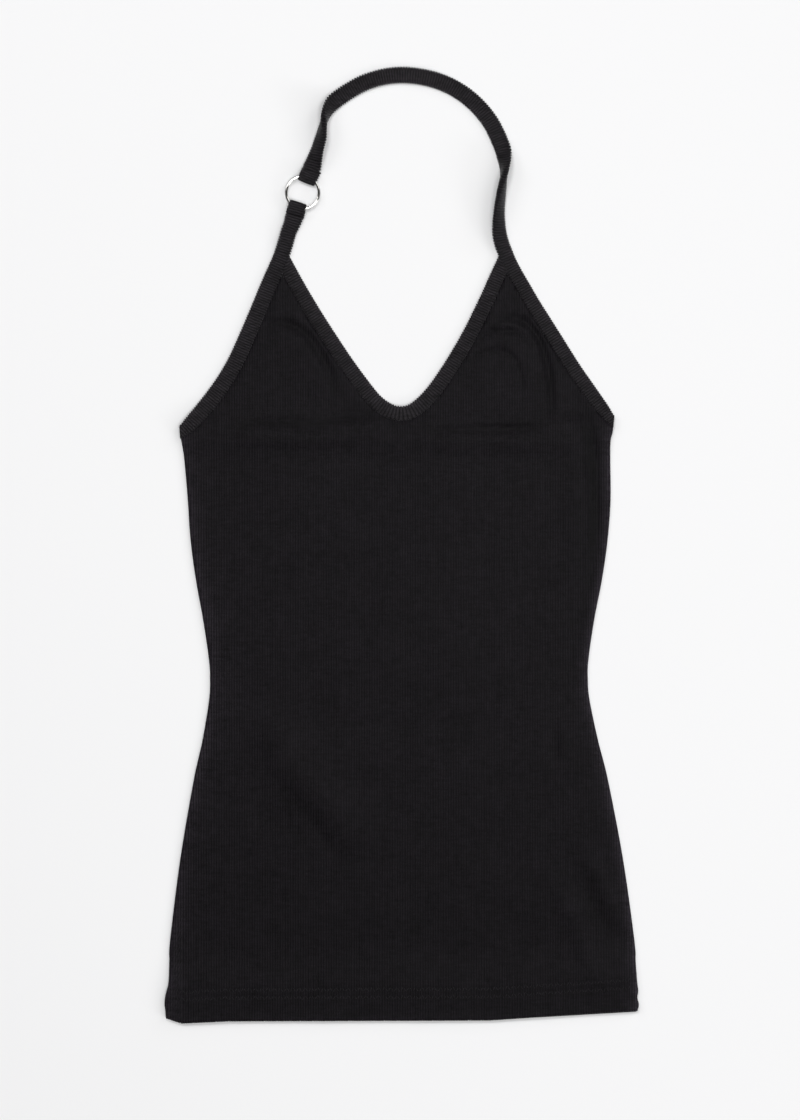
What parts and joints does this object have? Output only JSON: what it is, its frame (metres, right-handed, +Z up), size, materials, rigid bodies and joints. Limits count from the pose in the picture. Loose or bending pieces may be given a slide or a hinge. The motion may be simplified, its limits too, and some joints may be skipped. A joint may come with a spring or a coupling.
{
  "type": "halter neck top",
  "caption": "Black fine-rib knit halter neck top laid flat: V neck, bound armholes that run on as a neck strap joined by a metal ring, straight hem.",
  "frame": {"origin": "centre of the garment's bounding box, on the surface that it lies on", "axes": "+Z up from the surface, with the front of the garment facing up; +Y from the hem towards the neck strap; +X towards the right as seen from above, which is the wearer's left"},
  "size_m": [0.3558, 0.7169, 0.0131],
  "materials": {
    "rib_knit": "soft matt black cotton and elastane rib knit",
    "rib_tape": "matt black rib tape, folded over the edge, ribs running across it",
    "ring_metal": "polished silver-coloured plated wire"
  },
  "bodies": {
    "top": {"back_panel": "rib_knit", "back_binding": "rib_tape", "front_panel": "rib_knit", "neck_binding": "rib_tape", "long_strap_binding": "rib_tape", "short_strap_binding": "rib_tape"},
    "ring": {"ring": "ring_metal"}
  },
  "joints": [
    {"name": "ring_spin", "type": "hinge", "parent": "top", "child": "ring", "pos_m": [-0.0738, 0.2639, 0.00265], "axis": [0, 0, 1], "continuous": true}
  ]
}
